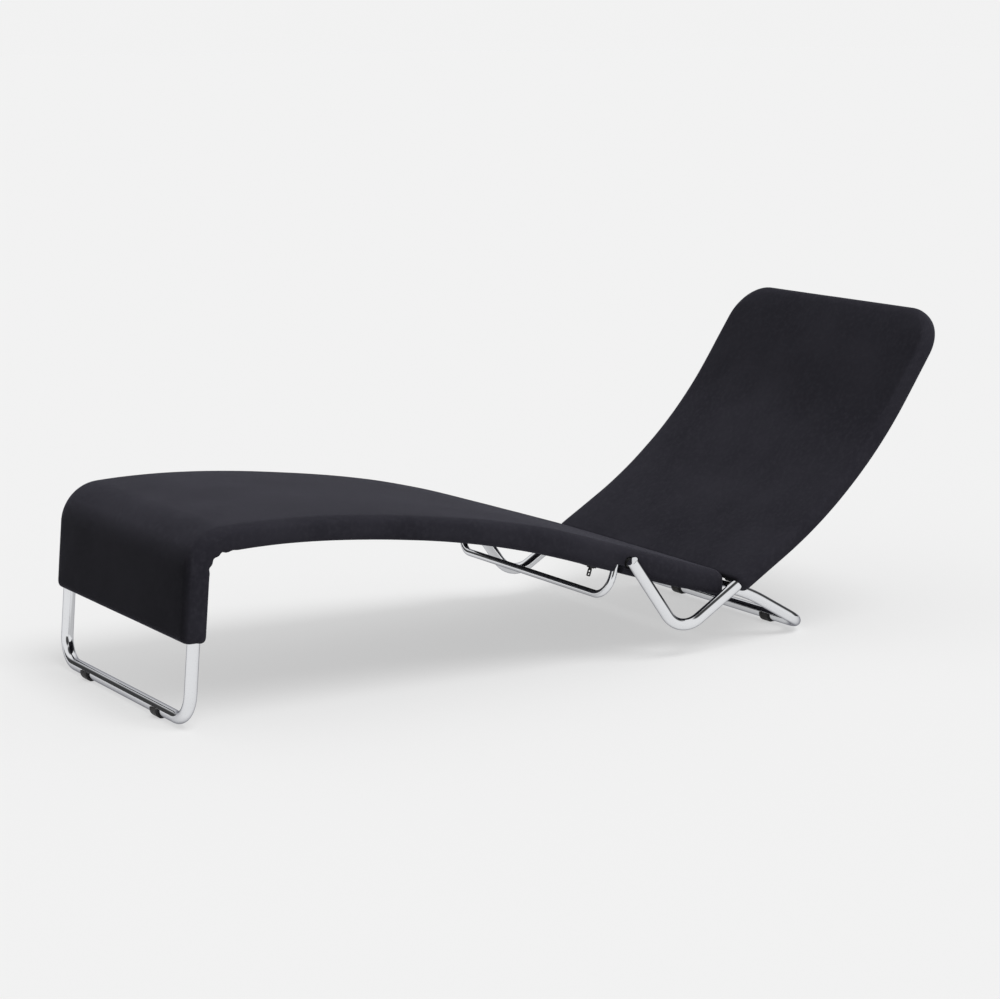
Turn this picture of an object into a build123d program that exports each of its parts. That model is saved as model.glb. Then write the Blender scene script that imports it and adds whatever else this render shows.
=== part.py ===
# A chaise longue: two nested frames of bent chrome tube with padded fabric sleeves.
# The narrow seat frame stands on the floor. The wide back frame turns on two bolts in the seat rails,
# rests on them at the hip and folds forward over the seat.
# X runs from the foot to the head, Y across and Z up. The origin is on the floor, in the middle.

import os
from math import cos, radians, sin, sqrt, tan

from build123d import *

os.makedirs("parts", exist_ok=True)

# Driving dimensions in millimetres and degrees

# Tubes
tube_d = 22
tube_wall = 1.5
floor_bend_r = 48
spigot_length = 60
spigot_clearance = 0.1

# Seat frame, seen from the side
seat_gauge = 511
leg_lean = 4.8
leg_joint_drop = 60
knee_r = 52
knee_rise = 3.1
crest_height = 318.8
arch_r = 1906
seat_fall = 18
seat_run = 390
rear_joint_run = 300
hip_r = 350
arm_fall = 30

# Under-seat stretcher
stretcher_d = 14
stretcher_wall = 1.2
stretcher_run = 107
stretcher_drop = 72
stretcher_bend_r = 40
weld_gap = 0.2

# Rubber glides on the floor bars
glide_inset = 110
glide_length = 24
glide_wall = 4
glide_flat = 1
glide_lip = 3
glide_clearance = 0.1

# Back frame, seen from the side
frame_gap = 10.5
pivot_run = 123
pivot_end_margin = 6.6
v_front_fall = 54.2
v_front_run = 178.8
v_bend_r = 55
v_rear_rise = 30.9
v_rear_run = 261
back_r = 911
head_rise = 56
head_run = 166
head_corner_r = 68
head_joint_run = 40

# Pivots between the two frames
bolt_d = 8
bolt_running_gap = 0.05
bolt_head_d = 15
bolt_head_length = 5
bush_d = 12
bush_fit = 0.05
bush_flange_d = 18
bush_proud = 1.5
insert_d = 10
insert_depth = 12
pivot_side_gap = 0.4
plug_cap_length = 1.5
plug_shank_length = 1.2
plug_edge_r = 1.2
plug_fit = 0.1

# Stops of the back frame on the seat rails
stud_d = 8
stud_fit = 0.05
stud_depth = 7
stop_sleeve_d = 13
stop_gap = 0.3
stop_overlap = 20

# Seat sleeve
cover_wall = 2
layer_gap = 0.3
edge_r = 13
seat_sleeve_over = 5.5
seat_crown = 3
knee_top = 22.5
knee_bottom = 19
waist_top = 17.5
waist_bottom = 22.8
waist_fall = 7.7
hip_top = 26
hip_bottom = 23.6
skirt_drop = 115
taper_steps = 4
swell_end_run = 40
seat_pad_run = 348
notch_margin = 2
notch_below = 8
notch_depth = 40
pivot_room = 1.5

# Back sleeve
back_sleeve_over = 5
back_half_thickness = 17.4
back_crown = 2
back_hem_run = 151
head_steps = 7
head_sweep = 84
head_edge_share = 0.8
hem_above_rail = 15
hem_cut_reach = 144
hem_side_gap = 2.5
stud_room = 2

# Webbing straps
strap_width = 50
strap_thickness = 1.2
strap_slack = 0.5
seat_arch_straps = 6
seat_rear_straps = 3
back_strap_count = 5

# Zip across the underside of the seat
zip_run = 83
zip_inset = 40
tape_width = 28
tape_thickness = 1
teeth_width = 5
teeth_height = 1.8
slider_offset = 10
slider_length = 13
slider_width = 10
slider_corner_r = 2.5
slider_plate = 1.2
slider_gap = 0.4
lug_width = 3
lug_length = 7
lug_height = 4.6
lug_end = 2.2
pull_pin_d = 1.6
pull_running_gap = 0.08
pull_length = 15
pull_width = 8
pull_corner_r = 2.2
pull_thickness = 2
pull_hole_d = 4
pull_slot_gap = 0.5
pull_slot_depth = 7
pull_above_pin = 1.5

# Widths and heights that follow from the driving dimensions
tube_r = tube_d / 2
bore_r = tube_r - tube_wall
glide_outer_r = tube_r + glide_wall
bar_axis_height = glide_outer_r - glide_flat
back_gauge = seat_gauge + 2 * (tube_d + frame_gap)
seat_y = seat_gauge / 2
back_y = back_gauge / 2
seat_half_width = seat_y + tube_r + seat_sleeve_over
back_half_width = back_y + tube_r + back_sleeve_over
notch_inner = seat_half_width - notch_depth
seat_heading = -seat_fall
leg_heading = 90 - leg_lean


# Side view helpers: a point is (x, z) and a heading is an angle above the +X direction
def go(point, heading, run):
    return (point[0] + run * cos(radians(heading)), point[1] + run * sin(radians(heading)))


def beside(point, heading, distance):
    return go(point, heading + 90, distance)


def on_arch(crest, heading):
    centre = beside(crest, 0, -arch_r)
    return beside(centre, heading, arch_r)


def side_points(crest_x):
    """Corner and tangent points of both frames, with the crest of the seat arch at crest_x."""
    p = {"crest": (crest_x, crest_height)}
    p["knee_top"] = on_arch(p["crest"], knee_rise)
    knee_centre = beside(p["knee_top"], knee_rise, -knee_r)
    p["leg_top"] = beside(knee_centre, leg_heading, knee_r)
    leg_length = (p["leg_top"][1] - bar_axis_height) / cos(radians(leg_lean))
    p["foot_bar"] = go(p["leg_top"], leg_heading, -leg_length)
    p["leg_joint"] = go(p["leg_top"], leg_heading, -leg_joint_drop)
    p["arch_end"] = on_arch(p["crest"], seat_heading)
    p["rear_joint"] = go(p["arch_end"], seat_heading, rear_joint_run)
    hip_tangent = hip_r * tan(radians((arm_fall - seat_fall) / 2))
    p["hip_corner"] = go(p["arch_end"], seat_heading, seat_run + hip_tangent)
    arm_length = (p["hip_corner"][1] - bar_axis_height) / sin(radians(arm_fall))
    p["rear_bar"] = go(p["hip_corner"], -arm_fall, arm_length)
    p["stretcher"] = go(p["arch_end"], seat_heading, stretcher_run)
    p["pivot"] = go(p["arch_end"], seat_heading, pivot_run)
    p["v_end"] = go(p["pivot"], -v_front_fall, -pivot_end_margin)
    p["v_corner"] = go(p["pivot"], -v_front_fall, v_front_run)
    p["back_start"] = go(p["v_corner"], v_rear_rise, v_rear_run)
    back_tangent = back_r * tan(radians((head_rise - v_rear_rise) / 2))
    p["back_corner"] = go(p["back_start"], v_rear_rise, back_tangent)
    p["back_end"] = go(p["back_corner"], head_rise, back_tangent)
    p["head_joint"] = go(p["back_end"], head_rise, head_joint_run)
    p["head_bar"] = go(p["back_end"], head_rise, head_run)
    return p


# The crest is placed so that the whole length is centred on the origin
trial = side_points(0)
foot_reach = trial["foot_bar"][0] - glide_outer_r
head_reach = trial["head_bar"][0] + back_half_thickness
side = side_points(-(foot_reach + head_reach) / 2)


def at(point, y):
    return (point[0], y, point[1])


def across(point, heading):
    """Plane square to the side view path at a point: local x runs along Y, local y to the upper side."""
    direction = (cos(radians(heading)), 0, sin(radians(heading)))
    return Plane(origin=at(point, 0), x_dir=(0, 1, 0), z_dir=direction)


def cross_axis(point, y):
    """Plane whose normal runs along +Y, for cross holes, bolts and studs."""
    return Plane(origin=at(point, y), x_dir=(1, 0, 0), z_dir=(0, 1, 0))


def start_plane(path):
    return Plane(origin=path @ 0, z_dir=path % 0)


def seat_rail_line():
    """Draws the seat rail axis into the open line context, from the leg joint to the rear joint."""
    leg = Line(side["leg_joint"], side["leg_top"])
    knee = JernArc(leg @ 1, leg % 1, knee_r, -(leg_heading - knee_rise))
    arch = JernArc(knee @ 1, knee % 1, arch_r, -(knee_rise + seat_fall))
    Line(arch @ 1, side["rear_joint"])


# Foot loop: the front floor bar and the two legs, bent from one tube
with BuildPart() as foot_loop:
    with BuildLine() as foot_axis:
        FilletPolyline(
            at(side["leg_joint"], -seat_y),
            at(side["foot_bar"], -seat_y),
            at(side["foot_bar"], seat_y),
            at(side["leg_joint"], seat_y),
            radius=floor_bend_r,
        )
    with BuildSketch(start_plane(foot_axis.wire())):
        Circle(tube_r)
        Circle(bore_r, mode=Mode.SUBTRACT)
    sweep(path=foot_axis.wire())
foot_loop.part.label = "foot_loop"

# Rear loop: the rear ends of the seat rails, the arms and the rear floor bar
with BuildPart() as rear_loop:
    with BuildLine() as rear_axis:
        FilletPolyline(
            at(side["rear_joint"], -seat_y),
            at(side["hip_corner"], -seat_y),
            at(side["rear_bar"], -seat_y),
            at(side["rear_bar"], seat_y),
            at(side["hip_corner"], seat_y),
            at(side["rear_joint"], seat_y),
            radius=[hip_r, floor_bend_r, floor_bend_r, hip_r],
        )
    with BuildSketch(start_plane(rear_axis.wire())):
        Circle(tube_r)
        Circle(bore_r, mode=Mode.SUBTRACT)
    sweep(path=rear_axis.wire())
rear_loop.part.label = "rear_loop"

# Seat rails: the knee bend and the arched side of the seat, with a cross hole for the pivot bush
seat_rails = {}
for side_name, sign in (("left", -1), ("right", 1)):
    with BuildPart() as rail:
        with BuildLine(Plane.XZ.offset(-sign * seat_y)) as rail_axis:
            seat_rail_line()
        with BuildSketch(start_plane(rail_axis.wire())):
            Circle(tube_r)
            Circle(bore_r, mode=Mode.SUBTRACT)
        sweep(path=rail_axis.wire())
        with BuildSketch(cross_axis(side["pivot"], sign * seat_y)):
            Circle(bush_d / 2 + bush_fit)
        extrude(amount=tube_d, both=True, mode=Mode.SUBTRACT)
    rail.part.label = f"seat_rail_{side_name}"
    seat_rails[side_name] = rail.part

# Seat spigots: round plugs inside the four tube joints of the seat frame
with BuildPart() as seat_spigots:
    for sign in (-1, 1):
        for joint, heading in ((side["leg_joint"], leg_heading), (side["rear_joint"], seat_heading)):
            centre = across(joint, heading)
            with BuildSketch(centre):
                with Locations((sign * seat_y, 0)):
                    Circle(bore_r - spigot_clearance)
            extrude(amount=spigot_length / 2, both=True)
seat_spigots.part.label = "seat_spigots"

# Stretcher: a thinner cross tube dropped below the seat, welded under the rails
stretcher_low = beside(side["stretcher"], seat_heading, -stretcher_drop)
stretcher_r = stretcher_d / 2
with BuildPart() as seat_stretcher:
    with BuildLine() as stretcher_axis:
        FilletPolyline(
            at(side["stretcher"], -seat_y),
            at(stretcher_low, -seat_y),
            at(stretcher_low, seat_y),
            at(side["stretcher"], seat_y),
            radius=stretcher_bend_r,
        )
    with BuildSketch(start_plane(stretcher_axis.wire())):
        Circle(stretcher_r)
        Circle(stretcher_r - stretcher_wall, mode=Mode.SUBTRACT)
    sweep(path=stretcher_axis.wire())
    for sign in (-1, 1):
        with BuildSketch(across(side["stretcher"], seat_heading)):
            with Locations((sign * seat_y, 0)):
                Circle(tube_r + weld_gap)
        extrude(amount=tube_d, both=True, mode=Mode.SUBTRACT)
seat_stretcher.part.label = "seat_stretcher"


def floor_glides(bar_point):
    """Two rubber clips under a floor bar, open above and cut flat where they stand on the floor."""
    with BuildPart() as glides:
        for sign in (-1, 1):
            with BuildSketch(cross_axis(bar_point, sign * (seat_y - glide_inset))):
                Circle(glide_outer_r)
                Circle(tube_r + glide_clearance, mode=Mode.SUBTRACT)
            extrude(amount=glide_length / 2, both=True)
        split(bisect_by=Plane.XY, keep=Keep.TOP)
        split(bisect_by=Plane.XY.offset(bar_axis_height + glide_lip), keep=Keep.BOTTOM)
    return glides.part


foot_glides = floor_glides(side["foot_bar"])
foot_glides.label = "foot_glides"
rear_glides = floor_glides(side["rear_bar"])
rear_glides.label = "rear_glides"

# Back rails: one tube a side, the curved back and the open V beside the seat
rail_crossing_angle = v_rear_rise + seat_fall
crossing_run = v_front_run * sin(radians(v_front_fall - seat_fall)) / sin(radians(rail_crossing_angle))
stop_run = crossing_run + (tube_r + stop_sleeve_d / 2 + stop_gap) / sin(radians(rail_crossing_angle))
stop_point = go(side["v_corner"], v_rear_rise, stop_run)
back_rails = {}
for side_name, sign in (("left", -1), ("right", 1)):
    with BuildPart() as rail:
        with BuildLine() as rail_axis:
            FilletPolyline(
                at(side["v_end"], sign * back_y),
                at(side["v_corner"], sign * back_y),
                at(side["back_corner"], sign * back_y),
                at(side["head_joint"], sign * back_y),
                radius=[v_bend_r, back_r],
            )
        with BuildSketch(start_plane(rail_axis.wire())):
            Circle(tube_r)
            Circle(bore_r, mode=Mode.SUBTRACT)
        sweep(path=rail_axis.wire())
        inner_wall = sign * (back_y - tube_r)
        with BuildSketch(cross_axis(side["pivot"], inner_wall)):
            Circle(insert_d / 2 + bush_fit)
        extrude(amount=tube_r, both=True, mode=Mode.SUBTRACT)
        with BuildSketch(cross_axis(stop_point, inner_wall)):
            Circle(stud_d / 2 + stud_fit)
        extrude(amount=tube_r, both=True, mode=Mode.SUBTRACT)
    rail.part.label = f"back_rail_{side_name}"
    back_rails[side_name] = rail.part

# Head loop: the head bar and its two wide corners
with BuildPart() as head_loop:
    with BuildLine() as head_axis:
        FilletPolyline(
            at(side["head_joint"], -back_y),
            at(side["head_bar"], -back_y),
            at(side["head_bar"], back_y),
            at(side["head_joint"], back_y),
            radius=head_corner_r,
        )
    with BuildSketch(start_plane(head_axis.wire())):
        Circle(tube_r)
        Circle(bore_r, mode=Mode.SUBTRACT)
    sweep(path=head_axis.wire())
head_loop.part.label = "head_loop"

# Back spigots: round plugs inside the two tube joints of the back frame
with BuildPart() as back_spigots:
    with BuildSketch(across(side["head_joint"], head_rise)):
        with Locations((-back_y, 0), (back_y, 0)):
            Circle(bore_r - spigot_clearance)
    extrude(amount=spigot_length / 2, both=True)
back_spigots.part.label = "back_spigots"

# End plugs: plated caps that close the front ends of the V tubes
with BuildPart() as end_plugs:
    for sign in (-1, 1):
        with BuildSketch(across(side["v_end"], 180 - v_front_fall)):
            with Locations((sign * back_y, 0)):
                Circle(tube_r)
        extrude(amount=plug_cap_length)
        with BuildSketch(across(side["v_end"], 180 - v_front_fall)):
            with Locations((sign * back_y, 0)):
                Circle(bore_r - plug_fit)
        extrude(amount=-plug_shank_length)
    fillet(end_plugs.edges().filter_by(GeomType.CIRCLE).sort_by(Axis.Z)[-2:], plug_edge_r)
end_plugs.part.label = "end_plugs"

# Pivot bushes: flanged bushes in the seat rails, with the flange between the two tubes
rail_outer = seat_y + tube_r
rail_inner = seat_y - tube_r
v_inner = back_y - tube_r
bush_inner_end = rail_inner - bush_proud
with BuildPart() as pivot_bushes:
    for sign in (-1, 1):
        with BuildSketch(cross_axis(side["pivot"], sign * bush_inner_end)):
            Circle(bush_d / 2)
        extrude(amount=sign * (rail_outer - bush_inner_end + pivot_side_gap))
        with BuildSketch(cross_axis(side["pivot"], sign * (rail_outer + pivot_side_gap))):
            Circle(bush_flange_d / 2)
        extrude(amount=sign * (v_inner - rail_outer - 2 * pivot_side_gap))
        with BuildSketch(cross_axis(side["pivot"], sign * seat_y)):
            Circle(bolt_d / 2 + bolt_running_gap)
        extrude(amount=back_gauge - seat_gauge, both=True, mode=Mode.SUBTRACT)
pivot_bushes.part.label = "pivot_bushes"

# Pivot bolts: their heads are inside the seat rails and their tips in the V tubes
bolt_tip = v_inner + insert_depth - pivot_side_gap
bolt_head_face = bush_inner_end - pivot_side_gap
with BuildPart() as pivot_bolts:
    for sign in (-1, 1):
        with BuildSketch(cross_axis(side["pivot"], sign * bolt_head_face)):
            Circle(bolt_d / 2)
        extrude(amount=sign * (bolt_tip - bolt_head_face))
        with BuildSketch(cross_axis(side["pivot"], sign * bolt_head_face)):
            RegularPolygon(bolt_head_d / 2, 6)
        extrude(amount=-sign * bolt_head_length)
pivot_bolts.part.label = "pivot_bolts"

# Pivot inserts: threaded inserts in the inner walls of the V tubes
with BuildPart() as pivot_inserts:
    for sign in (-1, 1):
        with BuildSketch(cross_axis(side["pivot"], sign * v_inner)):
            Circle(insert_d / 2)
            Circle(bolt_d / 2 + bolt_running_gap, mode=Mode.SUBTRACT)
        extrude(amount=sign * insert_depth)
pivot_inserts.part.label = "pivot_inserts"

# Stop studs and their sleeves: they reach inwards from the back rails and rest on the seat rails
stud_inner_end = rail_outer - stop_overlap
with BuildPart() as stop_studs:
    for sign in (-1, 1):
        with BuildSketch(cross_axis(stop_point, sign * stud_inner_end)):
            Circle(stud_d / 2)
        extrude(amount=sign * (v_inner + stud_depth - stud_inner_end))
stop_studs.part.label = "stop_studs"

with BuildPart() as stop_sleeves:
    for sign in (-1, 1):
        with BuildSketch(cross_axis(stop_point, sign * stud_inner_end)):
            Circle(stop_sleeve_d / 2)
            Circle(stud_d / 2 + stud_fit, mode=Mode.SUBTRACT)
        extrude(amount=sign * (v_inner - pivot_side_gap - stud_inner_end))
stop_sleeves.part.label = "stop_sleeves"


def pad_face(half_width, top, bottom, radius, crown):
    """Section of a padded sleeve: rounded edges, straight sides and a crowned upper side."""
    inner = half_width - radius
    with BuildLine() as outline:
        ThreePointArc((inner, top), (0, top + crown), (-inner, top))
        CenterArc((-inner, top - radius), radius, 90, 90)
        Line((-half_width, top - radius), (-half_width, radius - bottom))
        CenterArc((-inner, radius - bottom), radius, 180, 90)
        Line((-inner, -bottom), (inner, -bottom))
        CenterArc((inner, radius - bottom), radius, 270, 90)
        Line((half_width, radius - bottom), (half_width, top - radius))
        CenterArc((inner, top - radius), radius, 0, 90)
    make_face(outline.edges())


def seat_pad(inset):
    """The seat sleeve drawn in by inset all round: skirt, knee, a thinner waist and a thicker hip."""
    width = seat_half_width - inset
    radius = edge_r - inset
    skirt_end = go(side["leg_top"], leg_heading, inset - skirt_drop)
    hip_from = go(side["arch_end"], seat_heading, swell_end_run)
    with BuildPart() as pad:
        with BuildLine(Plane.XZ) as fore_axis:
            leg = Line(skirt_end, side["leg_top"])
            JernArc(leg @ 1, leg % 1, knee_r, -(leg_heading - knee_rise))
        with BuildSketch(across(skirt_end, leg_heading)):
            pad_face(width, knee_top - inset, knee_bottom - inset, radius, seat_crown)
        sweep(path=fore_axis.wire())
        for step in range(taper_steps):
            share = step / taper_steps
            heading = knee_rise - share * (knee_rise + waist_fall)
            top = knee_top + share * (waist_top - knee_top)
            bottom = knee_bottom + share * (waist_bottom - knee_bottom)
            with BuildSketch(across(on_arch(side["crest"], heading), heading)):
                pad_face(width, top - inset, bottom - inset, radius, seat_crown)
        for step in range(taper_steps + 1):
            share = step / taper_steps
            heading = -waist_fall - share * (seat_fall - waist_fall)
            point = hip_from if step == taper_steps else on_arch(side["crest"], heading)
            top = waist_top + share * (hip_top - waist_top)
            bottom = waist_bottom + share * (hip_bottom - waist_bottom)
            with BuildSketch(across(point, heading)):
                pad_face(width, top - inset, bottom - inset, radius, seat_crown)
        loft()
        with BuildSketch(across(hip_from, seat_heading)):
            pad_face(width, hip_top - inset, hip_bottom - inset, radius, seat_crown)
        extrude(amount=seat_pad_run - swell_end_run - inset)
    return pad.part


def seat_rods(radius):
    """Solid rods along both seat rails, from below the skirt to behind the seat sleeve."""
    rod_foot = go(side["leg_top"], leg_heading, -skirt_drop - tube_d)
    rod_rear = go(side["arch_end"], seat_heading, seat_pad_run + tube_d)
    with BuildPart() as rods:
        for sign in (-1, 1):
            with BuildLine(Plane.XZ.offset(-sign * seat_y)) as rod_axis:
                leg = Line(rod_foot, side["leg_top"])
                knee = JernArc(leg @ 1, leg % 1, knee_r, -(leg_heading - knee_rise))
                arch = JernArc(knee @ 1, knee % 1, arch_r, -(knee_rise + seat_fall))
                Line(arch @ 1, rod_rear)
            with BuildSketch(start_plane(rod_axis.wire())):
                Circle(radius)
            sweep(path=rod_axis.wire())
    return rods.part


def seat_notches():
    """Openings in the sides of the seat sleeve, where the stretcher and the pivots reach the rails."""
    breadth = notch_depth + tube_d
    with BuildPart() as notches:
        with BuildSketch(across(side["stretcher"], seat_heading)):
            for sign in (-1, 1):
                with Locations((sign * (notch_inner + breadth / 2), -notch_below - hip_bottom / 2)):
                    Rectangle(breadth, hip_bottom)
        extrude(amount=stretcher_r + notch_margin, both=True)
        for sign in (-1, 1):
            with BuildSketch(cross_axis(side["pivot"], sign * notch_inner)):
                Circle(bush_flange_d / 2 + pivot_room)
            extrude(amount=sign * breadth)
    return notches.part


def strap_rings(stations, gauge, inner_r, outer_r, width):
    """Flat bands wrapped round a pair of rails, one at each station."""
    with BuildPart() as rings:
        for point, heading in stations:
            with BuildSketch(across(point, heading)):
                SlotCenterToCenter(gauge, 2 * outer_r)
                SlotCenterToCenter(gauge, 2 * inner_r, mode=Mode.SUBTRACT)
            extrude(amount=width / 2, both=True)
    return rings.part


# Webbing straps round the seat rails: some on the arch, some on the straight stretch behind the pivots
strap_inner_r = tube_r + strap_slack
strap_outer_r = strap_inner_r + strap_thickness
seat_stations = []
for index in range(seat_arch_straps):
    heading = -(index + 1) * seat_fall / (seat_arch_straps + 1)
    seat_stations.append((on_arch(side["crest"], heading), heading))
straight_from = pivot_run + bush_flange_d
straight_step = (seat_pad_run - straight_from) / seat_rear_straps
for index in range(seat_rear_straps):
    run = straight_from + (index + 0.5) * straight_step
    seat_stations.append((go(side["arch_end"], seat_heading, run), seat_heading))
seat_straps = strap_rings(seat_stations, seat_gauge, strap_inner_r, strap_outer_r, strap_width)
seat_straps.label = "seat_straps"

# Seat cover: a sewn fabric sleeve with hemmed holes for the legs and the rails
rail_clear_r = tube_r + layer_gap
seat_inside = seat_pad(cover_wall)
seat_outside = seat_pad(0)
seat_rail_space = seat_rods(rail_clear_r)
seat_openings = seat_notches()
with BuildPart() as seat_cover:
    add(seat_outside)
    add(seat_inside, mode=Mode.SUBTRACT)
    add(seat_rail_space, mode=Mode.SUBTRACT)
    add(seat_openings, mode=Mode.SUBTRACT)
seat_cover.part.label = "seat_cover"

# Seat foam: fills the cover round the rails and the straps
foam_inset = cover_wall + layer_gap
seat_filling = seat_pad(foam_inset)
seat_strap_space = strap_rings(
    seat_stations, seat_gauge, tube_r, strap_outer_r + layer_gap, strap_width + 2 * layer_gap
)
with BuildPart() as seat_foam:
    add(seat_filling)
    add(seat_rail_space, mode=Mode.SUBTRACT)
    add(seat_strap_space, mode=Mode.SUBTRACT)
    add(seat_openings, mode=Mode.SUBTRACT)
seat_foam.part.label = "seat_foam"

# Back sleeve
head_pad_r = head_corner_r + back_half_width - back_y


def back_pad(inset):
    """The back sleeve drawn in by inset all round, with round corners and a rolled edge at the head."""
    width = back_half_width - inset
    thickness = back_half_thickness - inset
    corner = head_pad_r - inset
    hem = go(side["v_corner"], v_rear_rise, back_hem_run + inset)
    head_end = go(side["head_bar"], head_rise, thickness)
    corner_start = go(head_end, head_rise, -corner)
    with BuildPart() as pad:
        with BuildLine(Plane.XZ) as pad_axis:
            lower = Line(hem, side["back_start"])
            curve = JernArc(lower @ 1, lower % 1, back_r, head_rise - v_rear_rise)
            Line(curve @ 1, corner_start)
        with BuildSketch(across(hem, v_rear_rise)):
            pad_face(width, thickness, thickness, edge_r - inset, back_crown)
        sweep(path=pad_axis.wire())
        for step in range(head_steps + 1):
            angle = radians(head_sweep * step / head_steps)
            point = go(corner_start, head_rise, corner * sin(angle))
            to_end = min(corner * (1 - sin(angle)), thickness)
            depth = sqrt(thickness**2 - (thickness - to_end) ** 2)
            radius = min(edge_r - inset, depth * head_edge_share)
            with BuildSketch(across(point, head_rise)):
                pad_face(
                    width - corner * (1 - cos(angle)),
                    depth,
                    depth,
                    radius,
                    back_crown * depth / thickness,
                )
        loft(ruled=True)
    return pad.part


def hem_space(inset, half_width):
    """The space over the seat rails that the lower end of the back sleeve leaves free."""
    crossing = go(side["v_corner"], v_rear_rise, crossing_run)
    depth = hem_above_rail + inset + hem_cut_reach
    with BuildPart() as space:
        with BuildSketch(across(crossing, seat_heading)):
            with Locations((0, hem_above_rail + inset - depth / 2)):
                Rectangle(2 * half_width, depth)
        extrude(amount=hem_cut_reach, both=True)
    return space.part


def back_rod(radius):
    """Solid rod along the back frame inside the sleeve, from hem to hem round the head."""
    rod_start = go(side["v_corner"], v_rear_rise, back_hem_run - tube_d)
    with BuildPart() as rod:
        with BuildLine() as rod_axis:
            FilletPolyline(
                at(rod_start, -back_y),
                at(side["back_corner"], -back_y),
                at(side["head_bar"], -back_y),
                at(side["head_bar"], back_y),
                at(side["back_corner"], back_y),
                at(rod_start, back_y),
                radius=[back_r, head_corner_r, head_corner_r, back_r],
            )
        with BuildSketch(start_plane(rod_axis.wire())):
            Circle(radius)
        sweep(path=rod_axis.wire())
    return rod.part


# Webbing straps round the back rails, evenly spread over the curve
back_centre = beside(side["back_start"], v_rear_rise, back_r)
back_stations = []
for index in range(back_strap_count):
    heading = v_rear_rise + (index + 0.5) * (head_rise - v_rear_rise) / back_strap_count
    back_stations.append((beside(back_centre, heading, -back_r), heading))
back_straps = strap_rings(back_stations, back_gauge, strap_inner_r, strap_outer_r, strap_width)
back_straps.label = "back_straps"

# Room round the stop studs, so that they reach the seat rails through the lower hem
with BuildPart() as stud_space:
    for sign in (-1, 1):
        with BuildSketch(cross_axis(stop_point, sign * (stud_inner_end - layer_gap))):
            Circle(stop_sleeve_d / 2 + stud_room)
        extrude(amount=sign * (back_y - stud_inner_end))

# Back cover: a fabric sleeve over the head loop, hemmed round each rail and above the seat rails
hem_inner = seat_half_width + hem_side_gap
back_rail_space = back_rod(rail_clear_r)
back_outside = back_pad(0)
back_inside = back_pad(cover_wall)
with BuildPart() as back_hollow:
    add(back_inside)
    add(hem_space(cover_wall, hem_inner + cover_wall), mode=Mode.SUBTRACT)
with BuildPart() as back_cover:
    add(back_outside)
    add(hem_space(0, hem_inner), mode=Mode.SUBTRACT)
    add(back_hollow.part, mode=Mode.SUBTRACT)
    add(back_rail_space, mode=Mode.SUBTRACT)
    add(stud_space.part, mode=Mode.SUBTRACT)
back_cover.part.label = "back_cover"

# Back foam: fills the back cover round the frame and the straps, above the hem
back_filling = back_pad(foam_inset)
back_strap_space = strap_rings(
    back_stations, back_gauge, tube_r, strap_outer_r + layer_gap, strap_width + 2 * layer_gap
)
with BuildPart() as back_foam:
    add(back_filling)
    add(hem_space(foam_inset, back_gauge), mode=Mode.SUBTRACT)
    add(back_rail_space, mode=Mode.SUBTRACT)
    add(back_strap_space, mode=Mode.SUBTRACT)
    add(stud_space.part, mode=Mode.SUBTRACT)
back_foam.part.label = "back_foam"

# Zip: straight across the underside of the hip, with its slider at the left end
zip_reach = seat_half_width - zip_inset
zip_length = 2 * zip_reach
zip_origin = beside(go(side["arch_end"], seat_heading, zip_run), seat_heading, -hip_bottom)
zip_across = (cos(radians(seat_heading)), 0, sin(radians(seat_heading)))
zip_outward = (sin(radians(seat_heading)), 0, -cos(radians(seat_heading)))
zip_plane = Plane(origin=at(zip_origin, -zip_reach), x_dir=(0, 1, 0), z_dir=zip_outward)
teeth_top = tape_thickness + teeth_height
with BuildPart() as zip_tape:
    with BuildSketch(zip_plane):
        with Locations((zip_length / 2, 0)):
            Rectangle(zip_length, tape_width)
    extrude(amount=tape_thickness)
    with BuildSketch(zip_plane):
        with Locations((zip_length / 2, 0)):
            Rectangle(zip_length, teeth_width)
    extrude(amount=teeth_top)
zip_tape.part.label = "zip_tape"

# Zip slider: a channel that runs along the teeth, with a lug for the pull
plate_inner = teeth_top + slider_gap
plate_outer = plate_inner + slider_plate
channel_width = teeth_width + 2 * slider_gap
slider_middle = slider_offset + slider_length / 2
pin_height = plate_outer + lug_height - lug_end
pin_centre = zip_plane.from_local_coords((slider_middle, 0, pin_height))
with BuildPart() as zip_slider:
    with BuildSketch(zip_plane.offset(tape_thickness + slider_gap)):
        with Locations((slider_middle, 0)):
            RectangleRounded(slider_length, slider_width, slider_corner_r)
    extrude(amount=plate_outer - tape_thickness - slider_gap)
    with BuildSketch(zip_plane):
        with Locations((slider_middle, 0)):
            Rectangle(2 * slider_length, channel_width)
    extrude(amount=plate_inner, mode=Mode.SUBTRACT)
    with BuildSketch(zip_plane.offset(plate_outer)):
        with Locations((slider_middle, 0)):
            Rectangle(lug_length, lug_width)
    extrude(amount=lug_height)
    with BuildSketch(Plane(origin=pin_centre, z_dir=zip_across)):
        Circle(pull_pin_d / 2 + pull_running_gap)
    extrude(amount=lug_width, both=True, mode=Mode.SUBTRACT)
zip_slider.part.label = "zip_slider"

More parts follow.
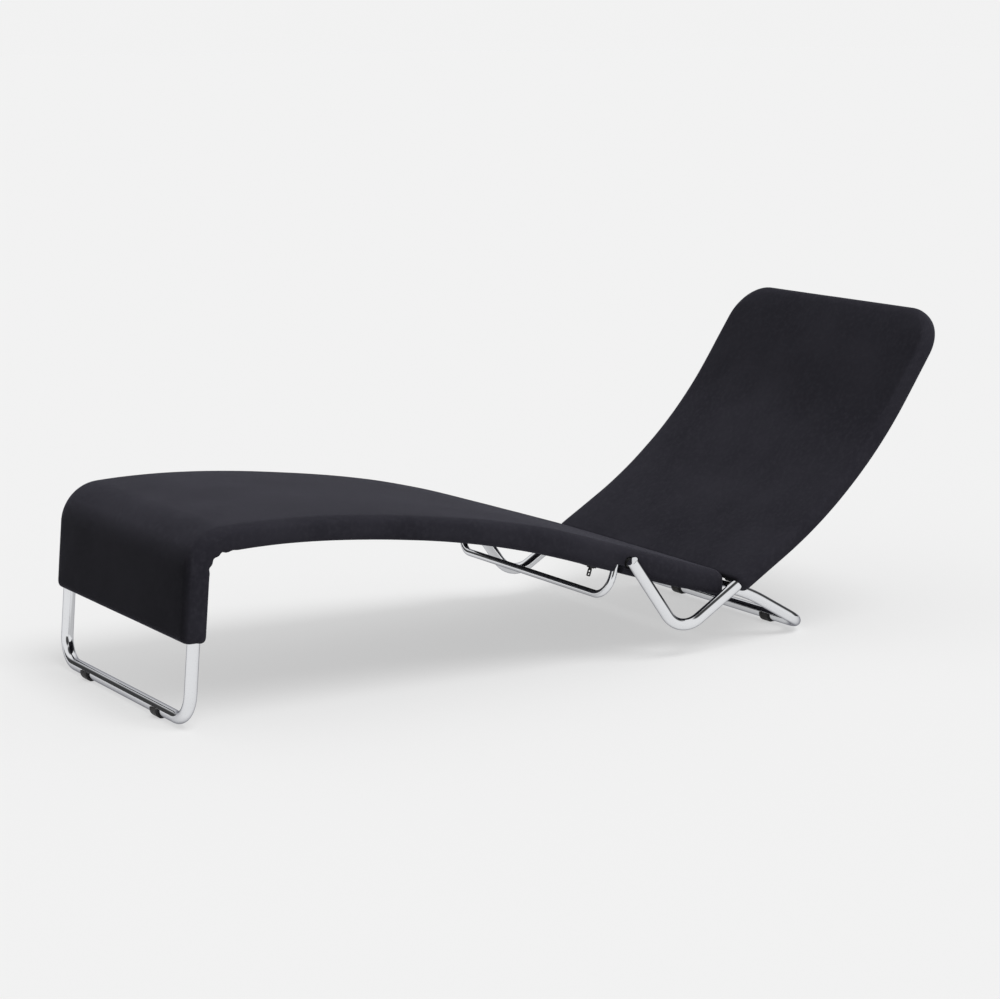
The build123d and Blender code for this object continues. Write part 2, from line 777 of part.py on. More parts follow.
# Zip pull: a flat tab that hangs from the lug on its cross pin
pull_plane = Plane(origin=pin_centre, x_dir=zip_across, z_dir=(0, -1, 0))
slot_width = lug_width + 2 * pull_slot_gap
with BuildPart() as zip_pull:
    with BuildSketch(pull_plane):
        with Locations((0, pull_above_pin - pull_length / 2)):
            RectangleRounded(pull_width, pull_length, pull_corner_r)
        with Locations((0, pull_above_pin - pull_slot_depth / 2)):
            Rectangle(slot_width, pull_slot_depth, mode=Mode.SUBTRACT)
        with Locations((0, pull_above_pin - pull_length + pull_hole_d)):
            Circle(pull_hole_d / 2, mode=Mode.SUBTRACT)
    extrude(amount=pull_thickness / 2, both=True)
    with BuildSketch(Plane(origin=pin_centre, z_dir=zip_across)):
        Circle(pull_pin_d / 2)
    extrude(amount=slot_width / 2 + pull_slot_gap, both=True)
zip_pull.part.label = "zip_pull"

# One file for each piece
pieces = [
    foot_loop.part,
    rear_loop.part,
    seat_rails["left"],
    seat_rails["right"],
    seat_spigots.part,
    seat_stretcher.part,
    foot_glides,
    rear_glides,
    seat_straps,
    seat_foam.part,
    seat_cover.part,
    zip_tape.part,
    zip_slider.part,
    zip_pull.part,
    pivot_bushes.part,
    pivot_bolts.part,
    pivot_inserts.part,
    end_plugs.part,
    stop_studs.part,
    stop_sleeves.part,
    back_rails["left"],
    back_rails["right"],
    head_loop.part,
    back_spigots.part,
    back_straps,
    back_foam.part,
    back_cover.part,
]
for piece in pieces:
    export_step(piece, f"parts/{piece.label}.step")
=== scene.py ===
# A chaise longue of bent chrome tube with padded black fabric sleeves, dressed over its packed
# frame. X runs from the foot to the head, Y across and Z up, in metres.

from math import cos, pi, radians, sin

import bmesh
import bpy
from mathutils import Matrix, Vector, noise


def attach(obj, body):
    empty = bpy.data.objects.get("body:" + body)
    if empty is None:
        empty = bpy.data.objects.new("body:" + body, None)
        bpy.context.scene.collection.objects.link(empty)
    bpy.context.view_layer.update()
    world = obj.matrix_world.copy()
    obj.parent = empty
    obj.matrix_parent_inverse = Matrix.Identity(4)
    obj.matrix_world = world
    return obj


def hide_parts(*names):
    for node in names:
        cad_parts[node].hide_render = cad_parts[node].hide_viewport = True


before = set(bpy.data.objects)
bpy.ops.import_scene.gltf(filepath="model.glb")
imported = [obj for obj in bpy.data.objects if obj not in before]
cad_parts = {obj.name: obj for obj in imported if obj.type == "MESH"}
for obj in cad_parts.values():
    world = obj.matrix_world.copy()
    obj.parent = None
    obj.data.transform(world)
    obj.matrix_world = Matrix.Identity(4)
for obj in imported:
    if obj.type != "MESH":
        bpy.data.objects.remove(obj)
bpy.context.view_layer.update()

# Chrome tubes of the seat frame: a foot loop, two arched rails and a rear loop, bent from drawn
# steel tube. They are polished and chrome plated, slipped together over inner plugs, and stand on
# their floor bars.


def new_finish(name):
    """A new material, with its nodes, its links and its surface shader."""
    finish = bpy.data.materials.new(name)
    finish.use_nodes = True
    tree = finish.node_tree
    return finish, tree.nodes, tree.links, tree.nodes["Principled BSDF"]


def noise_on(nodes, links, vector, scale, detail=2.0):
    """A noise texture laid on the given coordinates."""
    texture = nodes.new("ShaderNodeTexNoise")
    texture.inputs["Scale"].default_value = scale
    texture.inputs["Detail"].default_value = detail
    links.new(vector, texture.inputs["Vector"])
    return texture.outputs["Fac"]


def spread(nodes, links, value, low, high, to_low, to_high):
    """The value moved from one range to another, held at its ends."""
    node = nodes.new("ShaderNodeMapRange")
    node.inputs["From Min"].default_value = low
    node.inputs["From Max"].default_value = high
    node.inputs["To Min"].default_value = to_low
    node.inputs["To Max"].default_value = to_high
    links.new(value, node.inputs["Value"])
    return node.outputs["Result"]


def blended(nodes, links, share, first, second):
    """Two colours mixed by a share; each is a colour or a socket."""
    first_place, second_place, mixed_place = 6, 7, 2
    node = nodes.new("ShaderNodeMix")
    node.data_type = "RGBA"
    links.new(share, node.inputs["Factor"])
    for place, colour in ((first_place, first), (second_place, second)):
        if isinstance(colour, tuple):
            node.inputs[place].default_value = (*colour, 1)
        else:
            links.new(colour, node.inputs[place])
    return node.outputs[mixed_place]


def raised(nodes, links, height, strength, distance):
    """A bump from a height in the given distance."""
    node = nodes.new("ShaderNodeBump")
    node.inputs["Strength"].default_value = strength
    node.inputs["Distance"].default_value = distance
    links.new(height, node.inputs["Height"])
    return node.outputs["Normal"]


def dress(finish, *names):
    """Gives CAD nodes a finish."""
    for name in names:
        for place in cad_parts[name].material_slots:
            place.material = finish


bright_plating = (0.80, 0.81, 0.83)
dull_pit = (0.25, 0.22, 0.2)
edge_tint = (0.3, 0.3, 0.33, 1)
chrome, nodes, links, shader = new_finish("polished_chrome")
place = nodes.new("ShaderNodeTexCoord").outputs["Object"]
handling = noise_on(nodes, links, place, 18, 4)
pits = noise_on(nodes, links, place, 900, 1)
pit_share = spread(nodes, links, pits, 0.71, 0.76, 0, 0.55)
shader.inputs["Metallic"].default_value = 1
plated = blended(nodes, links, pit_share, bright_plating, dull_pit)
links.new(plated, shader.inputs["Base Color"])
shader.inputs["Specular Tint"].default_value = edge_tint
links.new(spread(nodes, links, handling, 0.3, 0.75, 0.035, 0.11), shader.inputs["Roughness"])
links.new(raised(nodes, links, handling, 0.04, 0.001), shader.inputs["Normal"])
dress(chrome, "foot_loop", "seat_rail_left", "seat_rail_right", "rear_loop")

# Inner plugs of the tube joints: short turned steel bars, zinc plated and driven into the tube
# ends. They stay out of sight inside the joints.

plated_steel, nodes, links, shader = new_finish("zinc_plated_steel")
place = nodes.new("ShaderNodeTexCoord").outputs["Object"]
grain = noise_on(nodes, links, place, 260, 3)
shader.inputs["Metallic"].default_value = 1
zinc = blended(nodes, links, grain, (0.5, 0.5, 0.52), (0.62, 0.61, 0.58))
links.new(zinc, shader.inputs["Base Color"])
links.new(spread(nodes, links, grain, 0.3, 0.7, 0.28, 0.45), shader.inputs["Roughness"])
dress(plated_steel, "seat_spigots", "back_spigots")

# Stretcher: a thinner chrome tube with two rounded bends, which hangs below the seat.
# Its ends are coped and welded to the undersides of the rails.

dress(chrome, "seat_stretcher")

# Floor glides: black rubber clips pushed over the floor bars, two on each.
# Their undersides are flat, where they stand on the floor.

rubber, nodes, links, shader = new_finish("black_rubber")
place = nodes.new("ShaderNodeTexCoord").outputs["Object"]
dust = noise_on(nodes, links, place, 90, 4)
dusty = blended(nodes, links, dust, (0.008, 0.008, 0.009), (0.022, 0.021, 0.021))
links.new(dusty, shader.inputs["Base Color"])
links.new(spread(nodes, links, dust, 0.3, 0.7, 0.55, 0.8), shader.inputs["Roughness"])
skin = raised(nodes, links, noise_on(nodes, links, place, 700), 0.15, 0.0003)
links.new(skin, shader.inputs["Normal"])
dress(rubber, "foot_glides", "rear_glides")

# Webbing: flat elastic straps round both rails of each frame, which carry the padding.
# They are woven, black, and hidden inside the sleeves.

webbing, nodes, links, shader = new_finish("elastic_webbing")
place = nodes.new("ShaderNodeTexCoord").outputs["Object"]
ribs = nodes.new("ShaderNodeTexWave")
ribs.inputs["Scale"].default_value = 160
links.new(place, ribs.inputs["Vector"])
ribbed = blended(nodes, links, ribs.outputs["Fac"], (0.012, 0.012, 0.013), (0.03, 0.03, 0.032))
links.new(ribbed, shader.inputs["Base Color"])
shader.inputs["Roughness"].default_value = 0.85
dress(webbing, "seat_straps", "back_straps")

# Seat sleeve: a padded sleeve of matt black stretch fabric, drawn over the rails from the skirt to
# the hip. It is cut flat, filled until its upper face crowns, then bent over the knee and the arch.
# Its foam is inside it.

pad_cell = 0.008
pad_wall_cuts = 4
pad_edge_r = 0.013
held_border = 0.022
crown_height = 0.003
crown_run = 0.12
fill_steps = 20
fill_pressure = 4
cloth_mass = 0.3
unevenness = 0.0006
slow_waves, fine_waves = 6, 17
fine_share = 0.4
middle_line = 1e-6


def flat_pad(length, half_width, top, bottom, rolls, corners):
    """A closed slab of small cells that lies flat, x along the rail and z outwards, with rounded
    edges. The depths of its rolled ends and the radii of their corners are given for both ends."""
    bm = bmesh.new()
    thickness = top + bottom
    edge = pad_edge_r
    cells_along, cells_across = round(length / pad_cell), round(2 * half_width / pad_cell)
    bmesh.ops.create_grid(bm, x_segments=cells_along, y_segments=cells_across, size=0.5)
    bmesh.ops.scale(bm, vec=(length, 2 * half_width, 1), verts=bm.verts)
    bmesh.ops.solidify(bm, geom=bm.faces[:], thickness=thickness)
    lowest = min(v.co.z for v in bm.verts)
    bmesh.ops.translate(bm, vec=(length / 2, 0, -bottom - lowest), verts=bm.verts)
    uprights = [e for e in bm.edges if abs(e.verts[0].co.z - e.verts[1].co.z) > thickness / 2]
    bmesh.ops.subdivide_edges(bm, edges=uprights, cuts=pad_wall_cuts, use_grid_fill=True)
    bmesh.ops.recalc_face_normals(bm, faces=bm.faces)
    for v in bm.verts:
        x, y, z = v.co
        far = x > length / 2
        way = 1 if far else -1
        side = 1 if y > 0 else -1
        corner, roll = corners[far], rolls[far]
        centre = Vector((length - corner if far else corner, side * (half_width - corner)))
        u = (x - centre.x) / corner * way
        w = (abs(y) - half_width + corner) / corner
        if u > 0 and w > 0:
            u, w = u * (1 - w * w / 2) ** 0.5, w * (1 - u * u / 2) ** 0.5
            outward = Vector((u * way, w * side)).normalized()
            depth = roll * outward.x**2 + edge * outward.y**2
            reach = Vector((u, w)).length * corner - corner + depth
            base = centre + outward * (corner - depth)
        elif u * corner > corner - roll:
            outward, depth = Vector((way, 0)), roll
            reach = u * corner - corner + roll
            base = Vector((x - way * reach, y))
        else:
            outward, depth = Vector((0, side)), edge
            reach = abs(y) - half_width + edge
            base = Vector((x, y - side * reach))
        over = max(reach / depth, 0)
        rise = max((z - top + edge) / edge, (edge - bottom - z) / edge, 0)
        span = (over * over + rise * rise) ** 0.5
        if over > 0 and rise > 0:
            base += outward * depth * over / span
            z += edge * (rise / span - rise) * (1 if z > 0 else -1)
        elif over > 0:
            base += outward * reach
        else:
            base = Vector((x, y))
        v.co = (base.x, base.y, z)
    return bm


def placed(name, bm):
    """A new object in the scene that takes its shape from a bmesh."""
    mesh = bpy.data.meshes.new(name)
    bm.to_mesh(mesh)
    bm.free()
    thing = bpy.data.objects.new(name, mesh)
    bpy.context.scene.collection.objects.link(thing)
    return thing


def fixed_shape(pad):
    """Turns the shape that the pad's modifiers make into its mesh."""
    before = pad.data
    made = pad.evaluated_get(bpy.context.evaluated_depsgraph_get())
    pad.data = bpy.data.meshes.new_from_object(made)
    pad.data.name = pad.name
    pad.modifiers.clear()
    bpy.data.meshes.remove(before)


def filled_pad(name, bm, length, half_width):
    """The pad filled by the cloth solver with gravity off. Its underside and its edges are held by
    the frame, so that only its upper face crowns. It is then subdivided once."""
    pad = placed(name, bm)

    def room(co):
        """How far a point of the upper face lies inside the held border."""
        return min(half_width - abs(co.y), co.x, length - co.x) - held_border if co.z > 0 else 0

    scene, mesh = bpy.context.scene, pad.data
    held = pad.vertex_groups.new(name="held")
    held.add([v.index for v in mesh.vertices if room(v.co) <= 0], 1, "REPLACE")
    cloth = pad.modifiers.new("filling", "CLOTH")
    cloth.settings.quality = 5
    cloth.settings.mass = cloth_mass
    cloth.settings.vertex_group_mass = "held"
    cloth.settings.use_pressure = True
    cloth.settings.uniform_pressure_force = fill_pressure
    cloth.settings.effector_weights.gravity = 0
    for step in range(1, fill_steps + 1):
        scene.frame_set(step)
    swollen = pad.evaluated_get(bpy.context.evaluated_depsgraph_get()).data
    moved = [v.co.copy() for v in swollen.vertices]
    pad.modifiers.remove(cloth)
    scene.frame_set(1)
    for v, target in zip(mesh.vertices, moved):
        cap = crown_height * min(max(room(v.co) / crown_run, 0), 1) ** 0.5
        shift = target - v.co
        v.co += shift * min(1, cap / max(shift.length, 1e-9))
    finer = pad.modifiers.new("finer", "SUBSURF")
    finer.levels = finer.render_levels = 1
    finer.uv_smooth = "NONE"
    fixed_shape(pad)
    pad.vertex_groups.clear()
    return pad


def settled(pad):
    """Gives the filling the slow unevenness of a used sleeve, half as much below. Points on the
    middle line of an edge count as below, whichever way their height was rounded."""
    for v in pad.data.vertices:
        swell = noise.noise(v.co * slow_waves) + fine_share * noise.noise(v.co * fine_waves)
        v.co.z += unevenness * swell * (1 if v.co.z > middle_line else -0.5)


def cut_map(pad):
    """The fabric's own map: each face takes its two flat directions in metres, so that the weave
    follows the bends."""
    mesh = pad.data
    sheet = mesh.uv_layers.new(name="fabric")
    for face in mesh.polygons:
        normal = [abs(part) for part in face.normal]
        if normal[2] >= max(normal[0], normal[1]):
            first, second = 0, 1
        elif normal[1] >= normal[0]:
            first, second = 0, 2
        else:
            first, second = 2, 1
        for corner in face.loop_indices:
            co = mesh.vertices[mesh.loops[corner].vertex_index].co
            sheet.data[corner].uv = (co[first], co[second])


def bent(start, heading, stretches, run):
    """Where a rail is after a run along its stretches of (length, turn): x, z and its heading,
    which is given in degrees and returned in radians."""
    x, z = start
    heading = radians(heading)
    for length, turn in stretches:
        step = min(run, length)
        bend = radians(turn) * step / length
        chord = step * sin(bend / 2) / (bend / 2) if bend else step
        x += chord * cos(heading + bend / 2)
        z += chord * sin(heading + bend / 2)
        heading += bend
        run -= step
        if run <= 0:
            break
    return x, z, heading


def lay_on(pad, start, heading, stretches):
    """Bends the flat pad along a rail."""
    for v in pad.data.vertices:
        x, z, angle = bent(start, heading, stretches, v.co.x)
        v.co = (x - v.co.z * sin(angle), v.co.y, z + v.co.z * cos(angle))


def hollowed(pad, *spaces):
    """Cuts spaces out of the pad: each is a bmesh in place."""
    for space in spaces:
        bmesh.ops.recalc_face_normals(space, faces=space.faces)
        cutter = placed("space", space)
        cut = pad.modifiers.new("cut", "BOOLEAN")
        cut.object = cutter
        cut.solver = "EXACT"
        fixed_shape(pad)
        mesh = cutter.data
        bpy.data.objects.remove(cutter)
        bpy.data.meshes.remove(mesh)


thread_pitch = 0.0011
wave_rate = 20
fabric_dark = (0.0205, 0.0198, 0.0260)
fabric_faded = (0.0285, 0.0275, 0.0354)
fabric_speck = (0.0330, 0.0320, 0.0400)
fabric_lint = (0.075, 0.075, 0.08)
# skirt_shade is how far painted shade darkens the skirt front towards black.
skirt_shade = 0.66
fabric, nodes, links, shader = new_finish("black_stretch_fabric")
surface = nodes.new("ShaderNodeTexCoord")
place = surface.outputs["Object"]
facing = nodes.new("ShaderNodeSeparateXYZ")
links.new(surface.outputs["Normal"], facing.inputs["Vector"])
fabric_map = nodes.new("ShaderNodeUVMap")
fabric_map.uv_map = "fabric"
threads = []
for direction in ("X", "Y"):
    wave = nodes.new("ShaderNodeTexWave")
    wave.bands_direction = direction
    wave.inputs["Scale"].default_value = 2 * pi / (wave_rate * thread_pitch)
    wave.inputs["Distortion"].default_value = 0.6
    wave.inputs["Detail"].default_value = 1
    links.new(fabric_map.outputs["UV"], wave.inputs["Vector"])
    threads.append(wave.outputs["Fac"])
weave = nodes.new("ShaderNodeMath")
weave.operation = "MULTIPLY"
links.new(threads[0], weave.inputs[0])
links.new(threads[1], weave.inputs[1])
fading = noise_on(nodes, links, place, 7, 5)
mottle = noise_on(nodes, links, place, 120, 3)
lint = noise_on(nodes, links, place, 420, 1)
faded = spread(nodes, links, fading, 0.35, 0.7, 0, 1)
ground = blended(nodes, links, faded, fabric_dark, fabric_faded)
speckled = spread(nodes, links, mottle, 0.45, 0.75, 0, 0.6)
ground = blended(nodes, links, speckled, ground, fabric_speck)
linty = spread(nodes, links, lint, 0.77, 0.81, 0, 0.4)
ground = blended(nodes, links, linty, ground, fabric_lint)
# Painted shade: faces turned towards the foot, the skirt front, are darkened by the way they face,
# in place of the dimmer light that falls on them.
painted_skirt_shade = spread(nodes, links, facing.outputs["X"], -1, -0.76, skirt_shade, 0)
ground = blended(nodes, links, painted_skirt_shade, ground, (0, 0, 0))
links.new(ground, shader.inputs["Base Color"])
shader.inputs["Roughness"].default_value = 0.92
shader.inputs["Specular IOR Level"].default_value = 0.05
shader.inputs["Sheen Weight"].default_value = 0.13
shader.inputs["Sheen Roughness"].default_value = 0.3
shader.inputs["Sheen Tint"].default_value = (0.82, 0.82, 1, 1)
links.new(raised(nodes, links, weave.outputs["Value"], 0.35, 0.0004), shader.inputs["Normal"])

seat_half_width = 0.2728
skirt_end = (-0.78406, 0.14786)
skirt_heading = 85.2
skirt_drop = 0.121
knee_r = 0.052
knee_turn = 82.1
arch_r = 1.906
arch_turn = 21.1
waist_turn = 10.8
knee_run = knee_r * radians(knee_turn)
arch_run = arch_r * radians(arch_turn)
hip_blend = 0.040
hip_run = 0.348
straight = 1
seat_stretches = [(skirt_drop, 0), (knee_run, -knee_turn), (arch_run, -arch_turn), (straight, 0)]
knee_end = skirt_drop + knee_run
waist = knee_end + arch_r * radians(waist_turn)
hip_start = knee_end + arch_run
hip_full = hip_start + hip_blend
seat_length = hip_start + hip_run
knee_depths = (0.023, 0.0195)
waist_depths = (0.018, 0.0248)
hip_depths = (0.0265, 0.0236)
seat_rolls = (0.005, 0.006)
seat_corners = (0.0135, 0.0135)
shoulder_run = 0.022
shoulder_share = 0.2
fold_pitch = 0.027
fold_share = 0.08
fold_sink = 0.2
fold_wander = 3
fold_lead = 0.012
fold_tail = 0.03
end_rise_run = 0.12
end_rise_share = 0.2
end_lean_run = 0.08
end_lean = 0.28
seat_blank = flat_pad(seat_length, seat_half_width, *knee_depths, seat_rolls, seat_corners)
seat_pad = filled_pad("seat_sleeve", seat_blank, seat_length, seat_half_width)
cut_map(seat_pad)


def eased(value, low, high):
    """A smooth step from 0 at low to 1 at high."""
    share = min(max((value - low) / (high - low), 0), 1)
    return share * share * (3 - 2 * share)


settled(seat_pad)
for v in seat_pad.data.vertices:
    run, lower = v.co.x, v.co.z < 0
    at_knee, at_waist, at_hip = knee_depths[lower], waist_depths[lower], hip_depths[lower]
    depth = at_knee + eased(run, knee_end, waist) * (at_waist - at_knee)
    depth += eased(run, waist, hip_full) * (at_hip - at_waist)
    v.co.z *= depth / at_knee
    if lower:
        fold_zone = eased(run, skirt_drop - fold_lead, skirt_drop + fold_lead)
        fold_zone *= eased(run, knee_end + fold_tail, knee_end)
        wander = fold_wander * noise.noise((run * 9, v.co.y * 14, 0))
        fold = sin(2 * pi * run / fold_pitch + wander)
        v.co.z *= 1 + fold_share * fold_zone * (fold - fold_sink)
        v.co.z *= 1 - end_rise_share * eased(run, seat_length - end_rise_run, seat_length)
    else:
        shoulder = eased(abs(v.co.y), seat_half_width - shoulder_run, seat_half_width)
        v.co.z *= 1 - shoulder_share * shoulder
    leaning = eased(run, seat_length - end_lean_run, seat_length)
    v.co.x += end_lean * (hip_depths[0] - v.co.z) * leaning
lay_on(seat_pad, skirt_end, skirt_heading, seat_stretches)

rail_fall = radians(-18)
arch_end = (-0.03287, 0.22551)


def hip_point(run, above):
    """A point of the side view, at a run along the hip's straight and above the rail's axis."""
    x = arch_end[0] + run * cos(rail_fall) - above * sin(rail_fall)
    return x, arch_end[1] + run * sin(rail_fall) + above * cos(rail_fall)


def space_along_hip(runs, heights, y_low, y_high):
    """A box along the hip, from run to run, height to height and side to side."""
    bm = bmesh.new()
    bmesh.ops.create_cube(bm, size=1)
    size = (runs[1] - runs[0], y_high - y_low, heights[1] - heights[0])
    bmesh.ops.scale(bm, vec=size, verts=bm.verts)
    x, z = hip_point(sum(runs) / 2, sum(heights) / 2)
    place = Matrix.Translation((x, (y_low + y_high) / 2, z))
    bmesh.ops.transform(bm, matrix=place @ Matrix.Rotation(-rail_fall, 4, "Y"), verts=bm.verts)
    return bm


def round_space(point, radius, y_low, y_high):
    """A cylinder across the chair, round a point of the side view."""
    bm = bmesh.new()
    bmesh.ops.create_cone(
        bm, cap_ends=True, segments=32, radius1=radius, radius2=radius, depth=y_high - y_low
    )
    place = Matrix.Translation((point[0], (y_low + y_high) / 2, point[1]))
    bmesh.ops.transform(bm, matrix=place @ Matrix.Rotation(pi / 2, 4, "X"), verts=bm.verts)
    return bm


pivot_point = (0.08411, 0.18750)
pivot_space_r = 0.0105
stretcher_run = 0.107
stretcher_space_r = 0.009
stretcher_span = (stretcher_run - stretcher_space_r, stretcher_run + stretcher_space_r)
stretcher_heights = (-0.05, -0.008)
rail_inner, past_rail = 0.232, 0.30
for low, high in ((-past_rail, -rail_inner), (rail_inner, past_rail)):
    hollowed(
        seat_pad,
        space_along_hip(stretcher_span, stretcher_heights, low, high),
        round_space(pivot_point, pivot_space_r, low, high),
    )
seat_pad.data.materials.clear()
seat_pad.data.materials.append(fabric)
seat_pad.data.shade_smooth()
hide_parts("seat_cover", "seat_foam")
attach(seat_pad, "seat")

# Zip: two black woven tapes sewn across the underside of the hip, with moulded teeth that mesh
# along the middle. A painted slider runs along the teeth, and a flat pull tab with a hole hangs
# from its lug.

zip_run = 0.083
zip_reach = 0.232
tape_width = 0.028
tape_thickness = 0.001
tape_hem = 0.013
hem_waviness = 0.0004
tooth_pitch = 0.004
tooth_size = (0.0026, 0.0034, 0.0017)
tooth_edge = 0.0004
tooth_stagger = 0.0008
tooth_height = 0.0019
zip_bm = bmesh.new()
bmesh.ops.create_grid(zip_bm, x_segments=116, y_segments=6, size=0.5)
bmesh.ops.scale(zip_bm, vec=(2 * zip_reach, tape_width, 1), verts=zip_bm.verts)
bmesh.ops.solidify(zip_bm, geom=zip_bm.faces[:], thickness=tape_thickness)
lowest = min(v.co.z for v in zip_bm.verts)
bmesh.ops.translate(zip_bm, vec=(0, 0, -lowest), verts=zip_bm.verts)
for v in zip_bm.verts:
    if abs(v.co.y) > tape_hem:
        v.co.y += hem_waviness * noise.noise((v.co.x * 40, v.co.y * 30, 0))
tooth_bm = bmesh.new()
bmesh.ops.create_cube(tooth_bm, size=1)
bmesh.ops.scale(tooth_bm, vec=tooth_size, verts=tooth_bm.verts)
rims = tooth_bm.edges[:]
bmesh.ops.bevel(
    tooth_bm, geom=rims, offset=tooth_edge, affect="EDGES", segments=1, profile=0.5, material=-1
)
tooth_mesh = bpy.data.meshes.new("tooth")
tooth_bm.to_mesh(tooth_mesh)
tooth_bm.free()
for index in range(2 * int(2 * zip_reach / tooth_pitch)):
    before = set(zip_bm.verts)
    zip_bm.from_mesh(tooth_mesh)
    along = -zip_reach + (index + 0.5) * tooth_pitch / 2
    step = (along, tooth_stagger * (1 if index % 2 else -1), tooth_height)
    bmesh.ops.translate(zip_bm, vec=step, verts=[v for v in zip_bm.verts if v not in before])
bpy.data.meshes.remove(tooth_mesh)
zip_x, zip_z = hip_point(zip_run, -hip_depths[1])
zip_place = Matrix(
    (
        (0, cos(rail_fall), sin(rail_fall), zip_x),
        (1, 0, 0, 0),
        (0, sin(rail_fall), -cos(rail_fall), zip_z),
        (0, 0, 0, 1),
    )
)
bmesh.ops.transform(zip_bm, matrix=zip_place, verts=zip_bm.verts)
zip_chain = placed("zip_chain", zip_bm)
tape, nodes, links, shader = new_finish("zip_tape")
place = nodes.new("ShaderNodeTexCoord").outputs["Object"]
ribs = nodes.new("ShaderNodeTexWave")
ribs.bands_direction = "Y"
ribs.inputs["Scale"].default_value = 420
links.new(place, ribs.inputs["Vector"])
woven = blended(nodes, links, ribs.outputs["Fac"], (0.005, 0.005, 0.006), (0.016, 0.016, 0.018))
links.new(woven, shader.inputs["Base Color"])
links.new(raised(nodes, links, ribs.outputs["Fac"], 0.3, 0.0002), shader.inputs["Normal"])
shader.inputs["Roughness"].default_value = 0.75
zip_chain.data.materials.append(tape)
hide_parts("zip_tape")
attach(zip_chain, "seat")
zip_paint, nodes, links, shader = new_finish("black_painted_metal")
place = nodes.new("ShaderNodeTexCoord").outputs["Object"]
chips = spread(nodes, links, noise_on(nodes, links, place, 650, 2), 0.66, 0.72, 0, 1)
worn = blended(nodes, links, chips, (0.018, 0.018, 0.019), (0.35, 0.34, 0.33))
links.new(worn, shader.inputs["Base Color"])
links.new(chips, shader.inputs["Metallic"])
shader.inputs["Roughness"].default_value = 0.35
dress(zip_paint, "zip_slider", "zip_pull")

# Pivots: hexagon bolts through flanged plastic bushes in the seat rails, screwed into inserts in
# the V tubes. Studs with rubber sleeves on the back rails rest on the seat rails at the hip.

plastic, nodes, links, shader = new_finish("black_moulded_plastic")
place = nodes.new("ShaderNodeTexCoord").outputs["Object"]
grain = noise_on(nodes, links, place, 300)
moulded = blended(nodes, links, grain, (0.01, 0.01, 0.01), (0.02, 0.02, 0.021))
links.new(moulded, shader.inputs["Base Color"])
shader.inputs["Roughness"].default_value = 0.5
dress(plastic, "pivot_bushes")
dress(plated_steel, "pivot_bolts", "pivot_inserts", "stop_studs")
dress(rubber, "stop_sleeves")

# Back frame: a head loop and two rails of the same chrome tube, each rail running on below its
# sleeve as a V. Domed plugs close the front ends of the V tubes.

dress(chrome, "head_loop", "back_rail_left", "back_rail_right", "end_plugs")

# Back sleeve: the same fabric over the head loop, with wide round corners at the head.
# Its lower hem is cut clear of the seat rails and goes round each back rail.

back_half_width = 0.3055
back_depths = (0.0182, 0.0182)
back_hem = (0.31827, 0.12003)
back_heading = 30.9
low_run = 0.110
back_r = 0.911
back_turn = 25.1
back_curve = back_r * radians(back_turn)
head_run = 0.166
head_cover = 0.0174
back_rolls = (0.006, 0.016)
back_corners = (0.0145, 0.084)
back_stretches = [(low_run, 0), (back_curve, back_turn), (straight, 0)]
back_length = low_run + back_curve + head_run + head_cover
back_blank = flat_pad(back_length, back_half_width, *back_depths, back_rolls, back_corners)
back_pad = filled_pad("back_sleeve", back_blank, back_length, back_half_width)
cut_map(back_pad)
settled(back_pad)
lay_on(back_pad, back_hem, back_heading, back_stretches)
crossing = 0.3594
hem_space = 0.144
hem_space_top = 0.015
hem_space_side = 0.2745
stop_point = (0.32922, 0.12658)
stop_space_r = 0.0085
stop_inner, stop_outer = 0.2462, 0.288
hollowed(
    back_pad,
    space_along_hip(
        (crossing - hem_space, crossing + hem_space),
        (-hem_space, hem_space_top),
        -hem_space_side,
        hem_space_side,
    ),
    round_space(stop_point, stop_space_r, -stop_outer, -stop_inner),
    round_space(stop_point, stop_space_r, stop_inner, stop_outer),
)
back_pad.data.materials.clear()
back_pad.data.materials.append(fabric)
back_pad.data.shade_smooth()
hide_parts("back_cover", "back_foam")
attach(back_pad, "back")

# Studio: a plain pale floor without an edge, a soft lamp high on the near side and an even pale
# surround. The chrome also mirrors a few dark parts of the room. The camera stands at the near foot
# corner and looks a little down.

floor_reach = 60
floor_glow = 0.5
light_strength = 0.55
seen_strength = 0.885
flag_strength = 0.06
flag_rim, flag_core = 0.86, 0.95
dark_flags = ((0.98, 0.05, 0.2), (-0.50, 0.85, 0.2), (-0.45, -0.83, 0.33), (-0.12, -0.2, 0.97))
floor_bm = bmesh.new()
bmesh.ops.create_grid(floor_bm, x_segments=1, y_segments=1, size=floor_reach)
floor = placed("floor", floor_bm)
pale, nodes, links, shader = new_finish("pale_floor")
shader.inputs["Base Color"].default_value = (0.75, 0.75, 0.75, 1)
shader.inputs["Roughness"].default_value = 1
shader.inputs["Specular IOR Level"].default_value = 0
even = nodes.new("ShaderNodeEmission")
even.inputs["Color"].default_value = (1, 1, 1, 1)


def seen_directly(nodes, links):
    """1 for camera, glossy and transmission rays, 0 for the rays that carry light."""
    ray = nodes.new("ShaderNodeLightPath")
    total = ray.outputs["Is Camera Ray"]
    for kind in ("Is Glossy Ray", "Is Transmission Ray"):
        either = nodes.new("ShaderNodeMath")
        either.operation = "MAXIMUM"
        links.new(total, either.inputs[0])
        links.new(ray.outputs[kind], either.inputs[1])
        total = either.outputs["Value"]
    return total


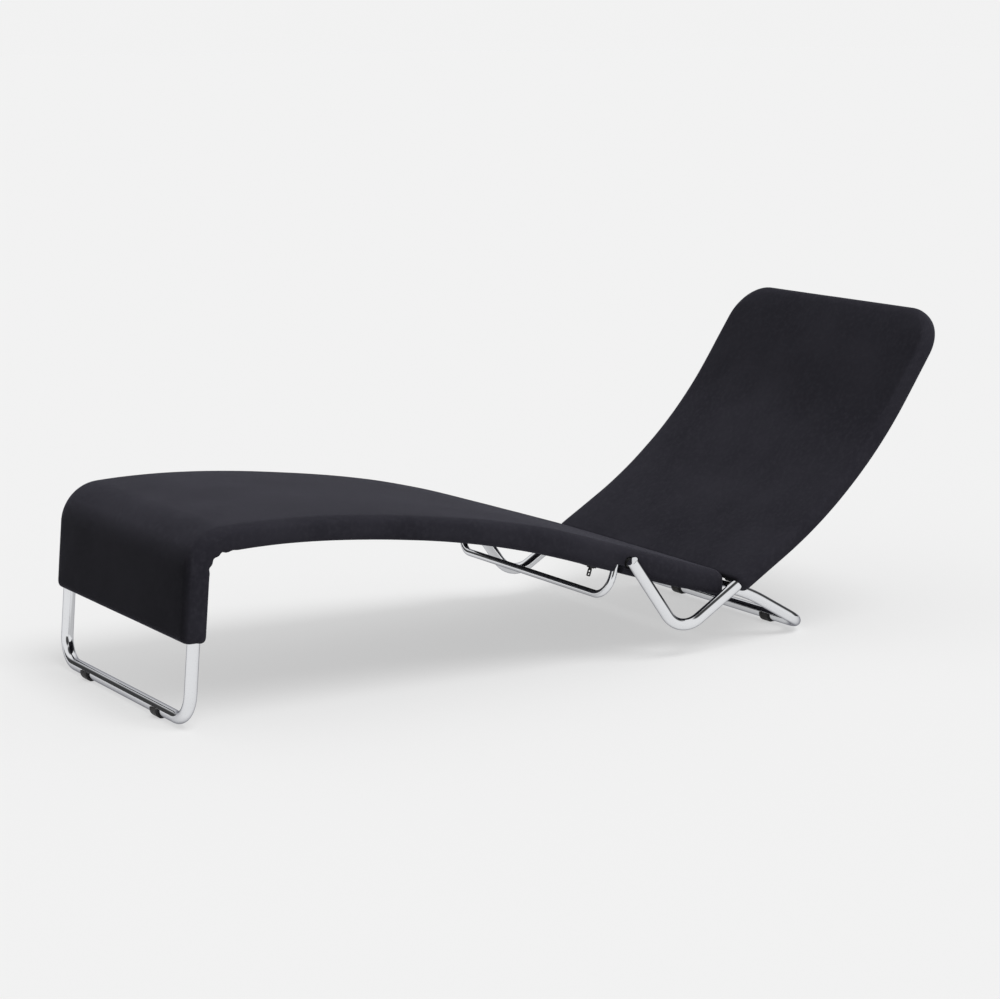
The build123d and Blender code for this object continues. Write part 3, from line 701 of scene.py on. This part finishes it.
mix = nodes.new("ShaderNodeMixShader")
glow = spread(nodes, links, seen_directly(nodes, links), 0, 1, 0, floor_glow)
links.new(glow, mix.inputs["Fac"])
links.new(shader.outputs["BSDF"], mix.inputs[1])
links.new(even.outputs["Emission"], mix.inputs[2])
links.new(mix.outputs["Shader"], nodes["Material Output"].inputs["Surface"])
floor.data.materials.append(pale)

key = bpy.data.lights.new("key", "SUN")
key.energy = 1.70
key.angle = radians(36)
lamp = bpy.data.objects.new("key", key)
lamp.rotation_euler = (radians(26), radians(8), 0)
lamp.visible_glossy = False
bpy.context.scene.collection.objects.link(lamp)

world = bpy.data.worlds.new("surround")
bpy.context.scene.world = world
world.use_nodes = True
nodes, links = world.node_tree.nodes, world.node_tree.links
surround = nodes["Background"]
surround.inputs["Color"].default_value = (1, 1, 1, 1)
towards = nodes.new("ShaderNodeTexCoord").outputs["Generated"]
bright = None
for flag in dark_flags:
    lined_up = nodes.new("ShaderNodeVectorMath")
    lined_up.operation = "DOT_PRODUCT"
    lined_up.inputs[1].default_value = Vector(flag).normalized()
    links.new(towards, lined_up.inputs[0])
    match = lined_up.outputs["Value"]
    shade = spread(nodes, links, match, flag_rim, flag_core, seen_strength, flag_strength)
    if bright is None:
        bright = shade
    else:
        darker = nodes.new("ShaderNodeMath")
        darker.operation = "MINIMUM"
        links.new(bright, darker.inputs[0])
        links.new(shade, darker.inputs[1])
        bright = darker.outputs["Value"]
mirrored = nodes.new("ShaderNodeMix")
links.new(nodes.new("ShaderNodeLightPath").outputs["Is Glossy Ray"], mirrored.inputs["Factor"])
plain = spread(nodes, links, seen_directly(nodes, links), 0, 1, light_strength, seen_strength)
links.new(plain, mirrored.inputs["A"])
links.new(bright, mirrored.inputs["B"])
links.new(mirrored.outputs["Result"], surround.inputs["Strength"])

bpy.context.scene.view_settings.view_transform = "Standard"
camera = bpy.data.cameras.new("camera")
camera.lens = 92.98
camera.sensor_width = 36
eye = bpy.data.objects.new("camera", camera)
eye.location = (-2.5843, -4.0211, 1.1765)
eye.rotation_euler = (radians(90 - 10.742), 0, radians(-32.515))
bpy.context.scene.collection.objects.link(eye)
bpy.context.scene.camera = eye

bpy.context.view_layer.update()
